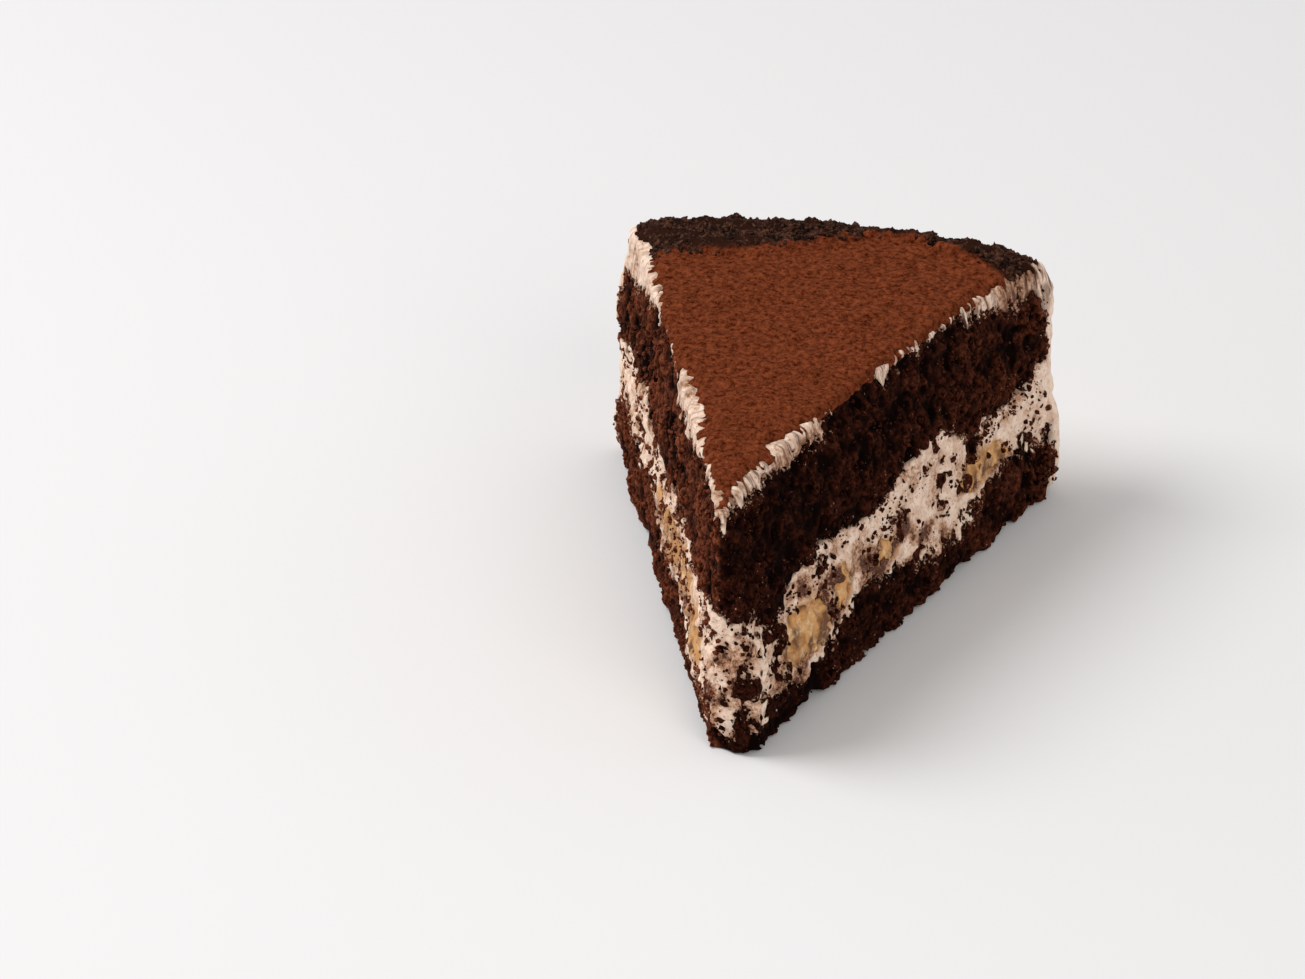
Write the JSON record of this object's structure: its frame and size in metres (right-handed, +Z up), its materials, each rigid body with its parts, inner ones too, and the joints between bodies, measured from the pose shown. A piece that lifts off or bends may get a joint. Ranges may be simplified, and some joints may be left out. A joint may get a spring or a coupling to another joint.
{
  "type": "slice of chocolate layer cake",
  "caption": "Wedge of chocolate cake as cut: dark sponge layers, banana and cream filling, cream coat on top and outer side, cocoa dusting and a crumb rim.",
  "frame": {"origin": "on the surface that the slice stands on, under the middle of its bounding box", "axes": "+Z up, +Y from the tip to the outer side, +X to the right when seen from the tip"},
  "size_m": [0.0889, 0.1219, 0.0522],
  "materials": {
    "sponge": "dark, moist, open crumb",
    "cream": "soft satin, smeared by the knife",
    "cocoa": "fine dry powder with dark crumbs at the rim",
    "banana": "moist, slightly translucent"
  },
  "bodies": {
    "root": {"sponge_lower": "sponge", "filling_cream": "cream", "sponge_upper": "sponge", "cream_coat": "cream", "cocoa_top": "cocoa", "banana_1": "banana", "banana_2": "banana", "banana_3": "banana", "banana_4": "banana", "banana_5": "banana", "banana_6": "banana", "banana_7": "banana", "banana_8": "banana"}
  },
  "joints": []
}
